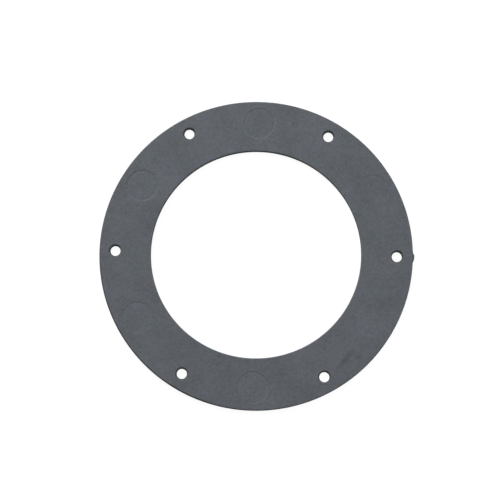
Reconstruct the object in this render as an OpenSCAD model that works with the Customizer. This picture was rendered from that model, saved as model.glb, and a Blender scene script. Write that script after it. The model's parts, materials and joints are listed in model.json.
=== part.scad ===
// Flat floor ring for a toilet flange: one moulded plastic plate, screwed down
// around the waste pipe.
// +Z is up. The plain underside lies on z = 0, and the ring's axis is the Z axis.
// The top face carries the ejector marks. The first screw hole and the gate nub
// are on the +X side.

/* [Ring] */
// Outside diameter of the ring
outer_d = 177.8; // [176:0.2:190]
// Diameter of the pipe opening
bore_d = 119.4; // [100:0.2:124]
// Thickness of the plate
thickness = 3; // [2.4:0.1:6]

/* [Rims] */
// Radius on the two rims of the top face
top_rim_r = 0.6; // [0.1:0.05:0.8]
// Radius on the two rims of the underside
bottom_rim_r = 0.2; // [0.1:0.05:0.6]

/* [Screw holes] */
// Number of screw holes
hole_count = 6; // [3:1:8]
// Diameter of the circle through the hole centres
hole_circle_d = 159.8; // [150:0.2:162]
// Diameter of each hole's straight part
hole_d = 5.7; // [4:0.1:6.4]
// Diameter of each hole's mouth in the top face
hole_mouth_d = 7; // [6.6:0.1:8]
// Height of the straight part above the underside
hole_land_h = 1; // [0.5:0.1:2]

/* [Ejector marks] */
// Diameter of each round mark, midway between two screw holes
mark_d = 18; // [10:0.5:19]
// Diameter of the circle through the mark centres
mark_circle_d = 152.4; // [147:0.2:154]
// Depth of each mark below the top face
mark_depth = 0.2; // [0.1:0.05:0.4]

/* [Gate nub] */
// How far the broken-off gate stands out of the outer wall
gate_proud = 0.9; // [0.3:0.1:1.5]
// Width of the gate nub where it meets the wall
gate_w = 7.6; // [4:0.2:9]
// Width of its broken end
gate_tip_w = 1.6; // [1:0.2:3]
// Height of the gate nub above the underside
gate_h = 2.1; // [1:0.1:2.2]

/* [Hidden] */
$fn = 180;
plastic = [0.36, 0.38, 0.40];
outer_r = outer_d / 2;
bore_r = bore_d / 2;
ring_w = outer_r - bore_r;
hole_step = 360 / hole_count;
cut = 1; // how far a cutting tool runs past the face it opens
gate_root = 2; // how deep the gate nub is rooted in the ring

// One rim of the section: a circle of radius r, centred r inside the corner.
module rim(x, z, r) {
  translate([x, z]) circle(r = r);
}

// Half section of the plate, with X as the radius and Y as the height.
module ring_section() {
  top_z = thickness - top_rim_r;
  translate([bore_r, bottom_rim_r]) square([ring_w, top_z - bottom_rim_r]);
  translate([bore_r + bottom_rim_r, 0]) square([ring_w - 2 * bottom_rim_r, thickness / 2]);
  translate([bore_r + top_rim_r, thickness / 2]) square([ring_w - 2 * top_rim_r, thickness / 2]);
  rim(bore_r + top_rim_r, top_z, top_rim_r);
  rim(outer_r - top_rim_r, top_z, top_rim_r);
  rim(bore_r + bottom_rim_r, bottom_rim_r, bottom_rim_r);
  rim(outer_r - bottom_rim_r, bottom_rim_r, bottom_rim_r);
}

// A screw hole: straight at the underside, then widening up to its mouth.
module screw_hole() {
  taper_h = thickness - hole_land_h;
  slope = (hole_mouth_d - hole_d) / 2 / taper_h;
  translate([0, 0, -cut]) cylinder(d = hole_d, h = cut + hole_land_h);
  translate([0, 0, hole_land_h])
    cylinder(r1 = hole_d / 2, r2 = hole_mouth_d / 2 + slope * cut, h = taper_h + cut);
}

// The shallow round recess that an ejector pin leaves.
module ejector_mark() {
  translate([0, 0, thickness - mark_depth]) cylinder(d = mark_d, h = mark_depth + cut);
}

// Repeats a shape around the ring, from the given angle.
module around(circle_d, first_angle) {
  for (i = [0 : hole_count - 1])
    rotate([0, 0, first_angle + i * hole_step]) translate([circle_d / 2, 0, 0]) children();
}

// What is left of the gate that fed the mould: a low ridge with sloping flanks.
module gate_nub() {
  linear_extrude(height = gate_h)
    polygon([
      [outer_r - gate_root, -gate_w / 2],
      [outer_r, -gate_w / 2],
      [outer_r + gate_proud, -gate_tip_w / 2],
      [outer_r + gate_proud, gate_tip_w / 2],
      [outer_r, gate_w / 2],
      [outer_r - gate_root, gate_w / 2]
    ]);
}

// The whole ring: one solid piece.
module flange_ring() {
  color(plastic)
    difference() {
      union() {
        rotate_extrude() ring_section();
        translate([0, 0, bottom_rim_r]) gate_nub();
      }
      around(hole_circle_d, 0) screw_hole();
      around(mark_circle_d, hole_step / 2) ejector_mark();
    }
}

flange_ring();
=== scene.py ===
import json
import math
from collections import namedtuple

import bmesh
import bpy
from mathutils import Matrix, Vector, noise


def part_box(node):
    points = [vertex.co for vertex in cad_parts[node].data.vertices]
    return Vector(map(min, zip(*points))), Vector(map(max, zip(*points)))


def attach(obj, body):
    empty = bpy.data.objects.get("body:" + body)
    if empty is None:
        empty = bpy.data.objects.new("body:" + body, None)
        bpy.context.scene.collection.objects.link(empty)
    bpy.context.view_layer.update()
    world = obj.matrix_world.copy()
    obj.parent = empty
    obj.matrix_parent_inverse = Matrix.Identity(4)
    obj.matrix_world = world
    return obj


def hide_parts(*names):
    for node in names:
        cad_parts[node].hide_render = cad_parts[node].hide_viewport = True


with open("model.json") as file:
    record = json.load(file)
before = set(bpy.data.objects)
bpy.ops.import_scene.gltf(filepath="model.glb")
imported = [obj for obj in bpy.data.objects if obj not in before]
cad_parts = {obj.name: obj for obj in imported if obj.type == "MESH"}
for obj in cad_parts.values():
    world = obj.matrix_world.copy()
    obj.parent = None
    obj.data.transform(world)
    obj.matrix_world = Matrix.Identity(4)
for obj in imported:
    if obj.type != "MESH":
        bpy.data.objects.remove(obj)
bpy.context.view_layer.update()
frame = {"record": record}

# Driving dimensions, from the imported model. Everything is in metres and radians.
MM = 0.001
TURN = 2 * math.pi
MOUNTS = {m["name"]: m for m in frame["record"]["mounts"]}
RING_LOW, RING_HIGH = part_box("flange_ring")
OUTER_R = -RING_LOW.x  # measured away from the gate nub, which is on the +X side
BORE_R = MOUNTS["pipe_opening"]["dims"]["r_mm"] * MM
HOLES = MOUNTS["screw_holes"]["dims"]["count"]
HOLE_R = MOUNTS["screw_holes"]["dims"]["hole_r_mm"] * MM
HOLE_CIRCLE_R = MOUNTS["screw_holes"]["dims"]["pcd_mm"] / 2 * MM

# The ring's section and small features, as the CAD part has them.
TOP_RIM_R = 0.6 * MM
BOTTOM_RIM_R = 0.2 * MM
MOUTH_R = 3.5 * MM
MOUTH_RIM_R = 0.25 * MM
HOLE_LAND_H = 1.0 * MM
HOLE_FOOT_R = 0.1 * MM  # rounding where a hole meets the underside
MARK_R = 9.0 * MM
MARK_CIRCLE_R = 76.2 * MM
GATE_PROUD = RING_HIGH.x - OUTER_R
GATE_HALF_W = 3.8 * MM
GATE_LOW_Z = BOTTOM_RIM_R
GATE_TOP_Z = 2.3 * MM
GATE_LOW_SLOPE = 0.2 * MM  # heights over which the stub rises from the wall, at its foot and at its top
GATE_TOP_SLOPE = 0.12 * MM
GATE_TORN_DROP = 0.5 * MM  # how much lower its top is torn off towards +Y
GATE_SPAN = 1.15 * GATE_HALF_W  # half length of the wall that is refined for it
GATE_CUTS = 5
GATE_ROUGH_FROM = 0.02 * MM  # faces that stand out further than this are broken plastic

# The gate stub from above: the place along its half width, and how much of GATE_PROUD it stands out there.
GATE_PLAN = [(-1.0, 0.0), (-0.85, 0.10), (-0.28, 0.86), (0.10, 0.96), (0.32, 0.86), (0.52, 0.34), (1.0, 0.0)]

# The mesh: one sector per screw hole and one per ejector mark, all with the same counts.
SECTORS = 2 * HOLES
OUT_STEPS, SIDE_STEPS, IN_STEPS = 54, 24, 26
AROUND = OUT_STEPS + IN_STEPS + 2 * SIDE_STEPS
SUPPORT = 0.12 * MM  # a narrow flat band beside each rounded rim keeps its shading crisp
RIM_ANGLES = [math.radians(a) for a in (0, 18, 36, 54, 72, 90)]
EDGE_WEAR_AND_HIGHLIGHT_STEPS = 5  # how many steps round a rim, after the first, are painted paler: edge wear, and partly a painted highlight
MOUTH_WEAR_AND_HIGHLIGHT_STEPS = 4
WALL_STEPS = (0.06, 0.35, 0.65, 0.94)  # shares of the way down a wall
TAPER_STEPS = (0.1, 0.4, 0.7, 0.95, 1.0)  # and down a screw hole's taper
LAND_STEPS = (0.9, 0.5, 0.15)  # shares of the land's height
# Shares of the way over the face, from a sector's boundary to its hole or mark.
FACE_STEPS = [0.012, 0.05, 0.11, 0.18, 0.26, 0.34, 0.42, 0.50, 0.58, 0.66, 0.74, 0.82, 0.89, 0.95, 0.985]

# The ejector marks by their angle. The pins were not set alike, nor quite square to the face. In mm and
# degrees, Mark gives:
#   depth         of the floor, at its centre
#   tilt, toward  how much deeper the floor is at its edge, and in which direction
#   wall          width of the sloping wall round the floor
#   ledge         share of the depth that an outer step takes, about 1 mm outside the wall
#   lip, pale     height of the lip round the wall, and how much paler it is painted there, a painted highlight
#   groove        share of the depth by which the floor rises again inside a groove along the wall
#   tone          how much paler than the face the floor is painted, a painted sheen
Mark = namedtuple("Mark", "depth tilt toward wall ledge lip pale groove tone")
MARKS = {
    30: Mark(0.10, 0.11, 60, 0.4, 0.0, 0.005, 0.0, 0.2, 0.02),
    90: Mark(0.20, 0.03, 120, 0.35, 0.0, 0.045, 0.7, 0.0, 0.0),
    150: Mark(0.27, 0.04, 130, 0.75, 0.0, 0.015, 0.1, 0.5, 0.06),
    210: Mark(0.24, 0.08, 160, 0.45, 0.3, 0.018, 0.15, 0.1, 0.22),
    270: Mark(0.20, 0.04, 150, 0.4, 0.0, 0.020, 0.1, 0.3, 0.10),
    330: Mark(0.03, 0.02, 0, 0.3, 0.0, 0.0, 0.0, 0.0, 0.12),
}
MARK_REACH = 1.6 * MM  # how far outside a mark's edge the face is shaped for it
TOP_Z = RING_HIGH.z - max(mark.lip for mark in MARKS.values()) * MM  # the face; lips and specks are higher

# Small blemishes on the top face. In mm and degrees, Blemish gives:
#   angle, reach              where it is, from the axis
#   half_length, half_width   its size
#   turn                      the way its length points
#   depth                     below the face, or above it where this is below 0
#   tone                      above 0 paler than the plastic, below 0 darker
Blemish = namedtuple("Blemish", "angle reach half_length half_width turn depth tone")
BLEMISHES = [
    Blemish(171.7, 65.8, 0.6, 0.5, 0, 0.12, -1.0),
    Blemish(191.0, 75.0, 1.3, 0.5, 30, 0.05, 0.6),
    Blemish(105.3, 62.0, 0.9, 0.7, 0, -0.01, 1.0),
    Blemish(76.8, 78.3, 1.1, 0.5, 10, -0.01, 0.8),
    Blemish(310.2, 78.8, 5.5, 1.6, 48, 0.0, -1.1),
    Blemish(315.4, 82.3, 2.4, 1.2, 48, 0.0, -0.9),
    Blemish(314.1, 77.3, 3.0, 1.8, 20, 0.0, -0.5),
]
BLEMISH_FADE = 1.5  # a blemish fades out at this many times its half length and half width
BLEMISH_CUTS = 4
REFINE_BAND = 0.05 * MM  # faces of the mesh within this of the top face's height may be refined
MOVE_BAND = 0.1 * MM  # vertices down to this far below the top face may be moved and toned

# Painted shade: one stretch of the outer rim and wall is painted darker, standing in for shade on the side
# facing away from the light. Its middle and half length in degrees, and its tone.
PAINTED_SHADE_MIDDLE = 223.0
PAINTED_SHADE_HALF = 46.0
PAINTED_SHADE_TONE = -2.3


def polar(degrees, reach):
    """A point in the ring's plane."""
    a = math.radians(degrees)
    return Vector((reach * math.cos(a), reach * math.sin(a), 0.0))


def smooth_step(t):
    """Eases from 0 to 1 as t goes from 0 to 1."""
    t = min(max(t, 0.0), 1.0)
    return t * t * (3 - 2 * t)


def turned_loop(bm, count, radius, z, first, centre=Vector()):
    """A closed loop of vertices, evenly spaced around a circle."""
    loop = []
    for i in range(count):
        a = first + TURN * i / count
        loop.append(bm.verts.new((centre.x + radius * math.cos(a), centre.y + radius * math.sin(a), z)))
    return loop


def skin(bm, a, b):
    """A band of quads between two closed loops of the same length."""
    for i in range(len(a)):
        j = (i + 1) % len(a)
        bm.faces.new((a[i], a[j], b[j], b[i]))


def outward(vert, centre):
    """The level direction from an upright axis through centre to a vertex."""
    return (Vector((vert.co.x, vert.co.y, 0.0)) - centre).normalized()


def turn_profile(bm, loop, centre, profile, layer, wear_and_highlight_steps):
    """Carries a loop along (radius, height) points around an upright axis, and returns the last loop.
    The layer holds 1 on the steps painted paler, for edge wear and partly a painted highlight, which follow
    the first one, and 0 on the others."""
    for step, (radius, z) in enumerate(profile):
        made = []
        for v in loop:
            made.append(bm.verts.new(centre + outward(v, centre) * radius + Vector((0.0, 0.0, z))))
            made[-1][layer] = 1.0 if 1 <= step <= wear_and_highlight_steps else 0.0
        skin(bm, loop, made)
        loop = made
    return loop


def rounded_edge(radius, side):
    """Profile of the ring's outer wall (side 1) or bore (side -1), from the top face to the underside."""
    points = [(radius + side * TOP_RIM_R * (math.sin(a) - 1), TOP_Z + TOP_RIM_R * (math.cos(a) - 1))
              for a in RIM_ANGLES]
    wall_top, wall_bottom = TOP_Z - TOP_RIM_R, BOTTOM_RIM_R
    points += [(radius, wall_top + (wall_bottom - wall_top) * t) for t in WALL_STEPS]
    points += [(radius + side * BOTTOM_RIM_R * (math.cos(a) - 1), BOTTOM_RIM_R * (1 - math.sin(a)))
               for a in RIM_ANGLES]
    points.append((radius - side * (BOTTOM_RIM_R + SUPPORT), 0.0))
    return points


def hole_profile():
    """Profile of a screw hole: rounded mouth, taper, and a straight land down to the underside."""
    taper_top = TOP_Z - MOUTH_RIM_R
    points = [(MOUTH_R + MOUTH_RIM_R * (1 - math.sin(a)), taper_top + MOUTH_RIM_R * math.cos(a))
              for a in RIM_ANGLES]
    points += [(MOUTH_R + (HOLE_R - MOUTH_R) * t, taper_top + (HOLE_LAND_H - taper_top) * t)
               for t in TAPER_STEPS]
    points += [(HOLE_R, HOLE_LAND_H * t) for t in LAND_STEPS]
    points += [(HOLE_R + HOLE_FOOT_R * (1 - math.cos(a)), HOLE_FOOT_R * (1 - math.sin(a)))
               for a in RIM_ANGLES[1:]]
    points.append((HOLE_R + HOLE_FOOT_R + SUPPORT, 0.0))
    return points


def mark_depth(mark, place, risen=1.0):
    """Depth of an ejector mark's floor at a place given from the mark's centre. risen is how much of the
    floor's rise is reached there."""
    depth = mark.depth + mark.tilt * place.dot(polar(mark.toward, 1.0)) / MARK_R
    return max(depth, 0.0) * (1 - mark.groove * risen) * MM


def mark_steps(mark):
    """The way from the face to a mark's floor: the distance outside the mark's edge in mm, then the share of
    the depth, the lip's height, the share of the floor's rise, and the tone there."""
    head, foot = 0.4 * mark.wall, -0.6 * mark.wall
    ledge = mark.ledge
    return [
        (1.40, 0.0, 0.0, 0.0, 0.0),
        (1.20, 0.0, 0.0, 0.0, 0.0),
        (0.95, ledge, 0.0, 0.0, 0.0),
        (head + 0.62, ledge, 0.0, 0.0, 0.0),
        # The lip painted paler: a painted highlight.
        (head + 0.46, ledge, 0.2 * mark.lip, 0.0, mark.pale),
        (head + 0.26, ledge, mark.lip, 0.0, mark.pale),
        (head + 0.10, ledge, mark.lip, 0.0, mark.pale),
        (head, 0.1 + 0.9 * ledge, 0.0, 0.0, 0.0),
        (foot, 0.9 + 0.1 * ledge, 0.0, 0.0, 0.0),
        # The floor painted paler: a painted sheen.
        (foot - 0.12, 1.0, 0.0, 0.0, mark.tone / 2),
        (foot - 0.35, 1.0, 0.0, 0.15, mark.tone),
        (foot - 0.95, 1.0, 0.0, 0.85, mark.tone),
        (foot - 1.30, 1.0, 0.0, 1.0, mark.tone),
    ]


def sink_mark(bm, tone_layer, loop, centre, mark):
    """Carries a loop from the face over the mark's raised lip and down its wall, to its floor."""
    for out_mm, drop, lip, risen, tone in mark_steps(mark):
        made = []
        for v in loop:
            place = outward(v, centre) * (MARK_R + out_mm * MM)
            z = TOP_Z - drop * mark_depth(mark, place, risen) + lip * MM
            made.append(bm.verts.new(centre + place + Vector((0.0, 0.0, z))))
            made[-1][tone_layer] = tone
        skin(bm, loop, made)
        loop = made
    return loop


def disc_point(u, v):
    """Maps a square's point to a disc so that its edge points are evenly spaced round the circle."""
    if u == 0 and v == 0:
        return 0.0, 0.0
    if abs(u) > abs(v):
        return u, math.pi / 4 * v / u
    return v, math.pi / 2 - math.pi / 4 * u / v


def fill_disc(bm, loop, centre, first, layer, value, height):
    """Closes a circular loop with a grid of quads. The layer holds value there, and height gives z at a
    place measured from the centre."""
    n = len(loop) // 4
    radius = (Vector((loop[0].co.x, loop[0].co.y, 0.0)) - centre).length
    grid = {}
    for i in range(n + 1):
        for j in range(n + 1):
            r, a = disc_point(2 * i / n - 1, 2 * j / n - 1)
            place = Vector((math.cos(a), math.sin(a), 0.0)) * r * radius
            if i in (0, n) or j in (0, n):
                turn = (math.atan2(place.y, place.x) - first) / TURN * len(loop)
                grid[i, j] = loop[round(turn) % len(loop)]
            else:
                grid[i, j] = bm.verts.new(centre + place + Vector((0.0, 0.0, height(place))))
                grid[i, j][layer] = value
    for i in range(n):
        for j in range(n):
            bm.faces.new((grid[i, j], grid[i + 1, j], grid[i + 1, j + 1], grid[i, j + 1]))


def sector_boundary(k, outer, inner, spokes):
    """The closed boundary of sector k, counterclockwise from its first outer corner."""
    left, right = spokes[k], spokes[k - 1]
    loop = [outer[(k * OUT_STEPS + i) % len(outer)] for i in range(OUT_STEPS)]
    loop += [left[j] for j in range(SIDE_STEPS)]
    loop += [inner[((k + 1) * IN_STEPS - i) % len(inner)] for i in range(IN_STEPS)]
    loop += [right[SIDE_STEPS - j] for j in range(SIDE_STEPS)]
    return loop


def make_spokes(bm, outer, inner):
    """The vertices along the lines between sectors. Spoke k ends sector k, and runs from rim to bore."""
    spokes = []
    for k in range(SECTORS):
        top = outer[((k + 1) * OUT_STEPS) % len(outer)]
        end = inner[((k + 1) * IN_STEPS) % len(inner)]
        middle = [bm.verts.new(top.co.lerp(end.co, j / SIDE_STEPS)) for j in range(1, SIDE_STEPS)]
        spokes.append([top] + middle + [end])
    return spokes


def fill_sector(bm, boundary, feature, steps):
    """Bands of quads from a sector's boundary in to the loop round its hole or mark."""
    loop = boundary
    for s in steps:
        made = [bm.verts.new(b.co.lerp(f.co, s)) for b, f in zip(boundary, feature)]
        skin(bm, loop, made)
        loop = made
    skin(bm, loop, feature)


def refine_face(bm, spot, reach):
    """Divides the top face finely around a spot."""
    near = []
    for f in bm.faces:
        centre = f.calc_center_median()
        if abs(centre.z - TOP_Z) < REFINE_BAND and (centre.xy - spot.xy).length < reach:
            near.append(f)
    edges = {e for f in near for e in f.edges}
    bmesh.ops.subdivide_edges(bm, edges=list(edges), cuts=BLEMISH_CUTS, use_grid_fill=True)


def sink_blemish(bm, tone_layer, blemish):
    """One pit, nick, speck or rub: moves and tones the vertices within it."""
    spot = polar(blemish.angle, blemish.reach * MM)
    along = polar(blemish.turn, 1.0) / (blemish.half_length * MM)
    across = polar(blemish.turn + 90, 1.0) / (blemish.half_width * MM)
    if blemish.depth:
        refine_face(bm, spot, 2.2 * blemish.half_length * MM)
    for v in bm.verts:
        if v.co.z > TOP_Z - MOVE_BAND and (v.co.xy - spot.xy).length < 2 * blemish.half_length * MM:
            place = Vector((v.co.x, v.co.y, 0.0)) - spot
            far = math.hypot(place.dot(along), place.dot(across))
            share = 1 - smooth_step(far / BLEMISH_FADE)
            v[tone_layer] += blemish.tone * share
            v.co.z -= blemish.depth * MM * share


def paint_edge_shade(bm, tone_layer):
    """Paints shade on the outer rim along one stretch: tones it darker, and fades out down the wall and
    towards its ends.
    """
    middle = polar(PAINTED_SHADE_MIDDLE, 1.0)
    for v in bm.verts:
        level = Vector((v.co.x, v.co.y, 0.0))
        if level.length > OUTER_R - 1.1 * TOP_RIM_R:
            away = math.degrees(level.angle(middle)) / PAINTED_SHADE_HALF
            share = smooth_step(v.co.z / TOP_Z) * (1 - smooth_step(2 * away - 1))
            v[tone_layer] += PAINTED_SHADE_TONE * share


def gate_section(y, z):
    """How far the gate's broken stub stands out of the wall at a height and a place along it."""
    t = y / GATE_HALF_W
    proud = 0.0
    for (t0, p0), (t1, p1) in zip(GATE_PLAN, GATE_PLAN[1:]):
        if t0 <= t <= t1:
            proud = p0 + (p1 - p0) * (t - t0) / (t1 - t0)
    top = GATE_TOP_Z - GATE_TOP_SLOPE - GATE_TORN_DROP * smooth_step((t - 0.1) / 0.4)
    rise = smooth_step((z - GATE_LOW_Z) / GATE_LOW_SLOPE) * (1 - smooth_step((z - top) / GATE_TOP_SLOPE))
    coarse = noise.noise(Vector((y, z, 0.0)) / (0.5 * MM))
    fine = noise.noise(Vector((y, z, 1.0)) / (0.2 * MM))
    torn = (0.10 * coarse + 0.05 * fine) * min(1.0, 3 * proud)
    return GATE_PROUD * rise * min(max(proud + torn, 0.0), 1.0)


def raise_gate(bm):
    """Draws the stub of the broken-off gate out of the outer wall, and leaves its faces unsmoothed."""
    def on_wall(co):
        return abs(math.hypot(co.x, co.y) - OUTER_R) < 0.01 * MM and co.x > 0

    near = [f for f in bm.faces if all(on_wall(v.co) and abs(v.co.y) < GATE_SPAN for v in f.verts)]
    edges = {e for f in near for e in f.edges}
    bmesh.ops.subdivide_edges(bm, edges=list(edges), cuts=GATE_CUTS, use_grid_fill=True)
    for v in bm.verts:
        if on_wall(v.co) and abs(v.co.y) < GATE_HALF_W:
            out = gate_section(v.co.y, v.co.z)
            v.co.x = math.sqrt(OUTER_R ** 2 - v.co.y ** 2) + out
    for f in bm.faces:
        if f.calc_center_median().x > OUTER_R + GATE_ROUGH_FROM:
            f.smooth = False


def feature_first_angle(k):
    """Angle of a feature loop's first vertex, so that the loop lines up with its sector's boundary."""
    return TURN * k / SECTORS - TURN * (OUT_STEPS / 2) / AROUND


def build_hole(bm, layers, k):
    """Screw hole of sector k. Returns the loops round it on the top face and on the underside."""
    centre = polar(360 * k / SECTORS, HOLE_CIRCLE_R)
    top = turned_loop(bm, AROUND, MOUTH_R + MOUTH_RIM_R + SUPPORT, TOP_Z, feature_first_angle(k), centre)
    under = turn_profile(bm, top, centre, hole_profile(), layers["rim"], MOUTH_WEAR_AND_HIGHLIGHT_STEPS)
    return top, under


def build_mark(bm, layers, k):
    """Ejector mark of sector k, and the plain underside below it. Returns the loops round both."""
    degrees = round(360 * k / SECTORS)
    mark = MARKS[degrees]
    tone = layers["tone"]
    centre = polar(degrees, MARK_CIRCLE_R)
    first = feature_first_angle(k)
    top = turned_loop(bm, AROUND, MARK_R + MARK_REACH, TOP_Z, first, centre)
    floor = sink_mark(bm, tone, top, centre, mark)
    # The floor painted paler, a painted sheen.
    fill_disc(bm, floor, centre, first, tone, mark.tone, lambda place: TOP_Z - mark_depth(mark, place))
    under = turned_loop(bm, AROUND, MARK_R, 0.0, first, centre)
    fill_disc(bm, under, centre, first, tone, 0.0, lambda place: 0.0)
    return top, under


def build_faces(bm, layers):
    """Rims, walls, holes and marks, and the top face and underside between them."""
    first = -TURN / SECTORS / 2
    axis = Vector()
    outer = turned_loop(bm, SECTORS * OUT_STEPS, OUTER_R - TOP_RIM_R - SUPPORT, TOP_Z, first)
    inner = turned_loop(bm, SECTORS * IN_STEPS, BORE_R + TOP_RIM_R + SUPPORT, TOP_Z, first)
    outer_under = turn_profile(bm, outer, axis, rounded_edge(OUTER_R, 1), layers["rim"], EDGE_WEAR_AND_HIGHLIGHT_STEPS)
    inner_under = turn_profile(bm, inner, axis, rounded_edge(BORE_R, -1), layers["rim"], EDGE_WEAR_AND_HIGHLIGHT_STEPS)
    spokes = make_spokes(bm, outer, inner)
    spokes_under = make_spokes(bm, outer_under, inner_under)
    for k in range(SECTORS):
        build = build_hole if k % 2 == 0 else build_mark
        top, under = build(bm, layers, k)
        fill_sector(bm, sector_boundary(k, outer, inner, spokes), top, FACE_STEPS)
        fill_sector(bm, sector_boundary(k, outer_under, inner_under, spokes_under), under, FACE_STEPS[::2])


def build_ring():
    """The whole moulded ring as one closed mesh, nearly all quads."""
    bm = bmesh.new()
    layers = {name: bm.verts.layers.float.new(name) for name in ("rim", "tone")}
    build_faces(bm, layers)
    bmesh.ops.recalc_face_normals(bm, faces=bm.faces)
    for f in bm.faces:
        f.smooth = True
    for blemish in BLEMISHES:
        sink_blemish(bm, layers["tone"], blemish)
    # painted shade along one stretch of the outer edge
    paint_edge_shade(bm, layers["tone"])
    raise_gate(bm)
    many_sided = [f for f in bm.faces if len(f.verts) > 4]  # around the refined patches
    bmesh.ops.triangulate(bm, faces=many_sided, ngon_method="BEAUTY")
    return bm


def make_piece(name, bm):
    """Turns a bmesh into an object."""
    mesh = bpy.data.meshes.new(name)
    bm.to_mesh(mesh)
    bm.free()
    piece = bpy.data.objects.new(name, mesh)
    bpy.context.scene.collection.objects.link(piece)
    return piece


class Nodes:
    """Adds shader nodes to a material. A value that is another node's output is linked."""

    def __init__(self, name):
        self.material = bpy.data.materials.new(name)
        self.material.use_nodes = True
        self.tree = self.material.node_tree
        self.shader = self.tree.nodes["Principled BSDF"]

    def set(self, socket, value):
        if isinstance(value, bpy.types.NodeSocket):
            self.tree.links.new(value, socket)
        else:
            socket.default_value = value

    def add(self, kind, *inputs, **settings):
        made = self.tree.nodes.new("ShaderNode" + kind)
        for name, value in settings.items():
            setattr(made, name, value)
        for name, value in inputs:
            self.set(made.inputs[name], value)
        return made

    def math(self, operation, a, b):
        made = self.add("Math", operation=operation)
        self.set(made.inputs[0], a)
        self.set(made.inputs[1], b)
        return made.outputs[0]

    def mix(self, factor, a, b):
        """Mixes two colours."""
        made = self.add("MixRGB", ("Fac", factor), ("Color1", a), ("Color2", b))
        return made.outputs[0]

    def noise(self, place, size, detail, roughness):
        """Noise whose largest features are about size across, from 0 to 1."""
        made = self.add("TexNoise", ("Vector", place), ("Scale", 1 / size), ("Detail", detail),
                        ("Roughness", roughness))
        return made.outputs["Fac"]

    def spread(self, value, low, high):
        """Maps 0 to 1 onto low to high, clamped."""
        made = self.add("MapRange", ("Value", value), ("To Min", low), ("To Max", high))
        return made.outputs["Result"]


BLUE_TINT = (0.0940, 0.0988, 0.1156, 1.0)
GREEN_TINT = (0.0880, 0.1004, 0.1089, 1.0)


def plastic():
    """Moulded satin plastic: dark blue-grey, faintly mottled, with a fine matt grain."""
    n = Nodes("grey_plastic")
    place = n.add("TexCoord").outputs["Object"]
    clouds = n.noise(place, 22 * MM, 5.0, 0.72)
    tints = n.noise(place, 7 * MM, 2.0, 0.6)
    grain = n.noise(place, 1.2 * MM, 2.0, 0.7)
    matt = n.noise(place, 0.3 * MM, 1.0, 0.5)
    rim = n.add("Attribute", attribute_name="rim").outputs["Fac"]
    tone = n.add("Attribute", attribute_name="tone").outputs["Fac"]

    cool = n.mix(n.spread(tints, -0.8, 1.8), BLUE_TINT, GREEN_TINT)
    gain = n.math("ADD", n.spread(clouds, 0.68, 1.32), n.spread(grain, -0.38, 0.38))
    # Rims paler: edge wear, and partly a painted highlight on the rounded edges.
    gain = n.math("ADD", gain, n.math("MULTIPLY", rim, n.spread(grain, 0.0, 0.25)))
    # The tone attribute: blemishes, plus painted shade along one stretch of the outer edge, a painted
    # highlight on the marks' lips and a painted sheen on their floors.
    gain = n.math("ADD", gain, n.math("MULTIPLY", tone, n.spread(grain, 0.15, 0.45)))
    colour = n.add("VectorMath", (0, cool), operation="SCALE")
    n.set(colour.inputs["Scale"], gain)
    n.set(n.shader.inputs["Base Color"], colour.outputs[0])

    n.set(n.shader.inputs["Roughness"], n.spread(clouds, 0.46, 0.64))
    n.set(n.shader.inputs["Specular IOR Level"], 0.2)

    height = n.math("ADD", n.math("MULTIPLY", grain, 0.6), n.math("MULTIPLY", tints, 0.8))
    height = n.math("ADD", height, n.math("MULTIPLY", matt, 0.3))
    bump = n.add("Bump", ("Strength", 0.35), ("Distance", 0.02 * MM), ("Height", height))
    n.set(n.shader.inputs["Normal"], bump.outputs[0])
    return n.material


FLOOR_SIZE = 6.0
FLOOR_GAP = 0.1 * MM  # keeps the floor clear of the underside
FLOOR_SHADE = 0.16
FLOOR_GLOW = 0.90
SKY_STRENGTH = 0.34


def floor_material():
    """A white sweep. The camera sees it glow, so that the ring casts almost no shadow on it."""
    n = Nodes("pale_floor")
    n.set(n.shader.inputs["Base Color"], (FLOOR_SHADE, FLOOR_SHADE, FLOOR_SHADE, 1.0))
    n.set(n.shader.inputs["Roughness"], 0.9)
    n.set(n.shader.inputs["Specular IOR Level"], 0.0)
    n.set(n.shader.inputs["Emission Color"], (1.0, 1.0, 1.0, 1.0))
    seen = n.add("LightPath").outputs["Is Camera Ray"]
    n.set(n.shader.inputs["Emission Strength"], n.math("MULTIPLY", seen, FLOOR_GLOW))
    return n.material


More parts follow.
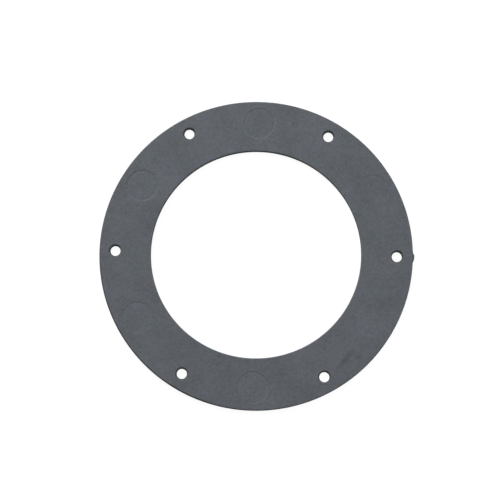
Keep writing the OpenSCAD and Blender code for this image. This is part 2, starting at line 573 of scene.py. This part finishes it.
def stage():
    """The floor and the even light of the sky."""
    bpy.ops.mesh.primitive_plane_add(size=FLOOR_SIZE, location=(0.0, 0.0, -FLOOR_GAP))
    floor = bpy.context.object
    floor.name = "floor"
    floor.data.materials.append(floor_material())
    world = bpy.data.worlds.new("studio")
    world.use_nodes = True
    sky = world.node_tree.nodes["Background"]
    sky.inputs["Color"].default_value = (1.0, 1.0, 1.0, 1.0)
    sky.inputs["Strength"].default_value = SKY_STRENGTH
    bpy.context.scene.world = world
    bpy.context.scene.view_settings.view_transform = "Standard"


def softbox(name, place, size, power):
    """A square area light that faces the ring's centre, with its size in metres and its power in watts."""
    lamp = bpy.data.lights.new(name, "AREA")
    lamp.size = size
    lamp.energy = power
    light = bpy.data.objects.new(name, lamp)
    bpy.context.scene.collection.objects.link(light)
    light.location = place
    light.rotation_euler = (-light.location).to_track_quat("-Z", "Y").to_euler()
    light.visible_camera = False


CAMERA_ELEVATION = math.radians(79.54)
CAMERA_AZIMUTH = math.radians(5.4)
RING_TURN = math.radians(-1.4)  # how far the ring is turned anticlockwise in the picture
CAMERA_DISTANCE = 10.5 * OUTER_R
RING_SHARE = 0.6272  # outside radius of the ring as a share of half the picture's width
AIM = Vector((-3.4, 1.87, 3.0)) * MM  # the point in the middle of the picture


def camera():
    """Looks almost straight down, from far enough off to look nearly flat."""
    data = bpy.data.cameras.new("camera")
    data.sensor_width = 36.0
    data.lens = RING_SHARE * data.sensor_width / 2 * CAMERA_DISTANCE / OUTER_R
    data.clip_start = 0.01
    cam = bpy.data.objects.new("camera", data)
    level = math.cos(CAMERA_ELEVATION)
    back = Vector((math.sin(CAMERA_AZIMUTH) * level, -math.cos(CAMERA_AZIMUTH) * level,
                   math.sin(CAMERA_ELEVATION)))
    right = Vector((math.sin(RING_TURN), math.cos(RING_TURN), 0.0)).cross(back).normalized()
    turn = Matrix((right, back.cross(right), back)).transposed()
    cam.matrix_world = Matrix.Translation(AIM + back * CAMERA_DISTANCE) @ turn.to_4x4()
    bpy.context.scene.collection.objects.link(cam)
    bpy.context.scene.camera = cam


ring = make_piece("moulded_ring", build_ring())
ring.data.materials.append(plastic())
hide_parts("flange_ring")
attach(ring, "root")

stage()
softbox("overhead", place=(0.64, 0.08, 1.16), size=1.6, power=8.0)
softbox("key", place=(-0.70, 1.10, 0.90), size=0.4, power=19.5)
camera()
